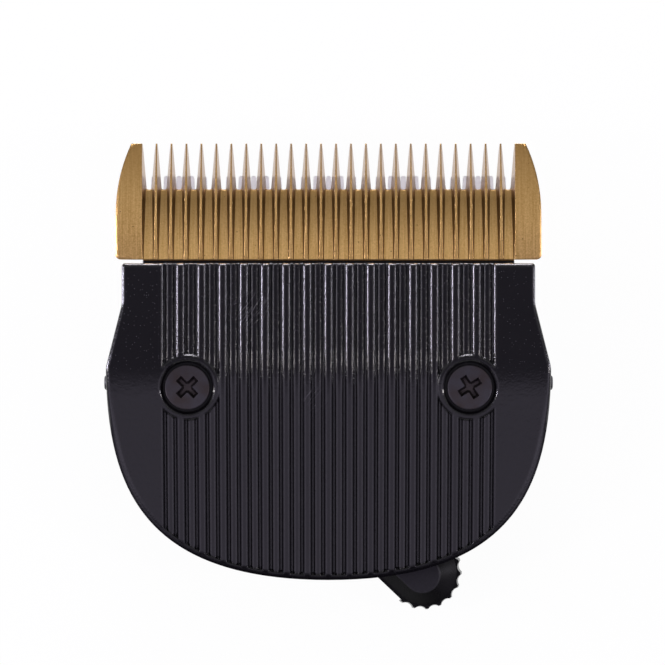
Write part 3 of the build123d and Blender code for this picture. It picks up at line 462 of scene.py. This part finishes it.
def worked(name, dark, light, metallic, low, high, grain_mm, strength):
    """A finish of two close tones, whose grain has a size along each axis and sets the roughness too."""
    material, tree = begin(name)
    place = put(tree, "ShaderNodeTexCoord", {}).outputs["Object"]
    grain_place = put(tree, "ShaderNodeMapping", {"Vector": place, "Scale": per_mm(*grain_mm)})
    grain = put(tree, "ShaderNodeTexNoise", {"Vector": grain_place.outputs[0], "Scale": 1.0, "Detail": 3.0})
    colour = put(tree, "ShaderNodeMix", {
        "Factor": grain.outputs["Fac"], "A": linear(dark), "B": linear(light)}, data_type="RGBA")
    rough = put(tree, "ShaderNodeMapRange", {
        "Value": grain.outputs["Fac"], "From Min": 0.3, "From Max": 0.7, "To Min": low, "To Max": high})
    bump = put(tree, "ShaderNodeBump", {
        "Height": grain.outputs["Fac"], "Strength": strength, "Distance": FINE})
    shader = put(tree, "ShaderNodeBsdfPrincipled", {
        "Base Color": colour.outputs["Result"], "Metallic": metallic, "Roughness": rough.outputs[0],
        "Normal": bump.outputs[0]})
    put(tree, "ShaderNodeOutputMaterial", {"Surface": shader.outputs[0]})
    return material


finishes = {
    "front_cover": lacquered_zinc(),
    "comb_blade": nitride_gold(),
    "cover_screws": oxide_steel(),
    "adjust_lever": moulded_acetal(),
    "cutter_blade": ground_zirconia(),
    # Glass-filled nylon: a dull black with a dry, slightly cloudy skin
    "blade_base": worked("glass_filled_nylon_moulded_black", "#141316", "#211f24", 0.0, 0.38, 0.55,
                         (0.3, 0.3, 0.3), 0.25),
    # Turned brass: warm yellow with fine rings across its axis
    "screw_inserts": worked("brass_turned", "#a98446", "#cbaa68", 1.0, 0.25, 0.42, (2, 2, 0.12), 0.15),
    # Zinc plate on stamped steel: bright bluish grey with a soft stamped skin
    "lever_washer": worked("zinc_plate_on_stamped_steel", "#aeb2b8", "#cbced3", 1.0, 0.25, 0.42,
                           (0.3, 0.3, 0.3), 0.1),
    # Zinc plate on cold-headed steel: the same grey, a little brighter and smoother
    "lever_screw": worked("zinc_plate_on_headed_steel", "#b2b6bc", "#d0d3d8", 1.0, 0.2, 0.36,
                          (0.5, 0.5, 0.5), 0.06),
    # Natural acetal: creamy white with a waxy half-shine and faint flow clouds
    "cutter_carriage": worked("natural_acetal_moulded", "#d6d2c9", "#e6e3dc", 0.0, 0.34, 0.5,
                              (1.2, 1.2, 1.2), 0.12),
    # Ground steel: bright with fine rings left by the wheel, drawn coarser than real ones of about 0.02 mm
    "follower_pin": worked("steel_centreless_ground", "#b4b6b9", "#d2d4d6", 1.0, 0.16, 0.3,
                           (2, 2, 0.08), 0.1),
    # Drawn spring steel: darker grey with long drawing lines, drawn coarser than real ones of about 0.03 mm
    "pressure_spring": worked("spring_steel_drawn", "#85878b", "#a7a9ad", 1.0, 0.25, 0.4,
                              (3, 0.12, 0.12), 0.1),
    # Grey acetal: even mid grey with a waxy half-shine
    "drive_yoke": worked("grey_acetal_moulded", "#838487", "#9b9c9f", 0.0, 0.35, 0.5, (1.0, 1.0, 1.0), 0.12),
}
for name, material in finishes.items():
    nodes[name].data.materials.clear()
    nodes[name].data.materials.append(material)

# Floor: pale paper that the camera and mirror-like faces see as white, and that still takes a soft shadow
half_side = 3.0
level = cad_box[0].z - 0.02 * MM
corners = [(x * half_side, y * half_side, level) for x, y in ((-1, -1), (1, -1), (1, 1), (-1, 1))]
floor_mesh = bpy.data.meshes.new("floor")
floor_mesh.from_pydata(corners, [], [(0, 1, 2, 3)])
floor = bpy.data.objects.new("floor", floor_mesh)
bpy.context.collection.objects.link(floor)
white_share = 0.96  # what is left shows the shadow
material, tree = begin("paper_backdrop_matt_white")
place = put(tree, "ShaderNodeTexCoord", {}).outputs["Object"]
tooth_place = put(tree, "ShaderNodeMapping", {"Vector": place, "Scale": per_mm(2, 2, 2)})
tooth = put(tree, "ShaderNodeTexNoise", {"Vector": tooth_place.outputs[0], "Scale": 1.0, "Detail": 3.0})
shade = put(tree, "ShaderNodeMix", {
    "Factor": tooth.outputs["Fac"], "A": linear("#f2f2f2"), "B": linear("#f6f6f6")}, data_type="RGBA")
matt = put(tree, "ShaderNodeBsdfDiffuse", {"Color": shade.outputs["Result"]})
white = put(tree, "ShaderNodeEmission", {"Color": linear("#ffffff"), "Strength": 1.0})
rays = put(tree, "ShaderNodeLightPath", {})
mirror = put(tree, "ShaderNodeMath", {
    0: rays.outputs["Is Glossy Ray"], 1: rays.outputs["Is Transmission Ray"]}, operation="ADD")
seen = put(tree, "ShaderNodeMath", {0: rays.outputs["Is Camera Ray"], 1: mirror.outputs[0]},
           operation="ADD", use_clamp=True)
share = put(tree, "ShaderNodeMath", {0: seen.outputs[0], 1: white_share}, operation="MULTIPLY")
paper = put(tree, "ShaderNodeMixShader", {0: share.outputs[0], 1: matt.outputs[0], 2: white.outputs[0]})
put(tree, "ShaderNodeOutputMaterial", {"Surface": paper.outputs[0]})
floor.data.materials.append(material)

# Room: the dome is dim straight above, where the camera stands, pale in a ring round that and dark at the
# horizon. The walls fall off far in front of and behind the part, and on the lever's side the flanks are
# brighter, which lights the rib edges there.
world = bpy.data.worlds.new("studio")
bpy.context.scene.world = world
world.use_nodes = True
tree = world.node_tree
tree.nodes.clear()
ray = put(tree, "ShaderNodeTexCoord", {})
way = put(tree, "ShaderNodeSeparateXYZ", {0: ray.outputs["Generated"]})
angle = put(tree, "ShaderNodeMath", {0: way.outputs["Z"]}, operation="ARCCOSINE")
around = put(tree, "ShaderNodeMath", {0: angle.outputs[0], 1: math.pi / 2}, operation="DIVIDE")
dome = put(tree, "ShaderNodeValToRGB", {"Fac": around.outputs[0]})
along = put(tree, "ShaderNodeMapRange", {"Value": way.outputs["Y"], "From Min": -1.0})
walls = put(tree, "ShaderNodeValToRGB", {"Fac": along.outputs[0]})
sideways = put(tree, "ShaderNodeMath", {0: way.outputs["X"]}, operation="ABSOLUTE")
behind = put(tree, "ShaderNodeMapRange", {"Value": way.outputs["Y"], "From Min": -0.08, "From Max": -0.22})
sideways = put(tree, "ShaderNodeMath", {0: sideways.outputs[0], 1: behind.outputs[0]}, operation="MULTIPLY")
flanks = put(tree, "ShaderNodeValToRGB", {"Fac": sideways.outputs[0]})
dome_stops = ((0.0, 0.17), (0.155, 0.19), (0.265, 0.62), (0.45, 0.58), (0.7, 0.14), (1.0, 0.06))
wall_stops = ((0.0, 0.15), (0.1, 0.2), (0.22, 1.1), (0.5, 1.1),
              (0.62, 1.35), (0.7, 1.4), (0.78, 0.95), (1.0, 0.3))
flank_stops = ((0.0, 1.0), (0.14, 1.0), (0.32, 1.5), (0.55, 2.3), (1.0, 2.3))
cool_until = 0.6  # the walls are cooler below this position
for node, stops, coolness in ((dome, dome_stops, 0.0), (walls, wall_stops, 0.08), (flanks, flank_stops, 0.0)):
    elements = node.color_ramp.elements
    while len(elements) < len(stops):
        elements.new(0.5)
    for element, (position, shade) in zip(elements, stops):
        cool = coolness if position < cool_until else 0.0
        element.position = position
        element.color = (shade, shade * (1 - cool), shade * (1 + 2 * cool), 1)
bright = dome
for node in (walls, flanks):
    bright = put(tree, "ShaderNodeVectorMath", {0: bright.outputs[0], 1: node.outputs["Color"]},
                 operation="MULTIPLY")
sky = put(tree, "ShaderNodeBackground", {"Color": bright.outputs[0], "Strength": 1.0})
put(tree, "ShaderNodeOutputWorld", {"Surface": sky.outputs[0]})

# Lamps: name, place, width, height, power, colour. Two low strips graze the ribs, a small high one fills in
# from the left, one box lights the upper rim, and two warm boxes draw the streaks where the cover bends.
lamps = (
    ("left_strip", (-0.42, 0.03, 0.055), 0.07, 0.07, 1.8, "#efeaff"),
    ("left_high", (-0.30, 0.03, 0.34), 0.06, 0.08, 0.12, "#efeaff"),
    ("right_strip", (0.42, 0.03, 0.055), 0.07, 0.07, 0.5, "#f2eeff"),
    ("top_box", (0.0, 0.42, 0.055), 0.20, 0.07, 2.6, "#f8f4ff"),
    ("left_box", (-0.32, -0.035, 0.27), 0.04, 0.08, 0.3, "#fdf6f6"),
    ("right_box", (0.32, -0.035, 0.27), 0.04, 0.08, 0.3, "#fdf6f6"),
)
aim = Vector((0, 3 * MM, 10 * MM))
for name, spot, width, tall, power, tone in lamps:
    lamp = bpy.data.lights.new(name, "AREA")
    lamp.shape = "RECTANGLE"
    lamp.size = width
    lamp.size_y = tall
    lamp.energy = power
    lamp.color = linear(tone)[:3]
    holder = bpy.data.objects.new(name, lamp)
    holder.location = spot
    holder.rotation_mode = "QUATERNION"
    holder.rotation_quaternion = (aim - Vector(spot)).to_track_quat("-Z", "Y")
    holder.visible_camera = False
    bpy.context.collection.objects.link(holder)

# Camera straight above the front, as in the photograph
view_width = 71.98 * MM
view_centre = 0.43 * MM, 5.90 * MM
view_plane = 12.0 * MM
distance = 450 * MM
eye = bpy.data.cameras.new("photo_camera")
eye.sensor_width = 36.0
eye.lens = eye.sensor_width * distance / view_width
eye.clip_start = 0.01
camera = bpy.data.objects.new("photo_camera", eye)
camera.location = (*view_centre, view_plane + distance)
bpy.context.collection.objects.link(camera)
bpy.context.scene.camera = camera
bpy.context.scene.view_settings.view_transform = "Standard"
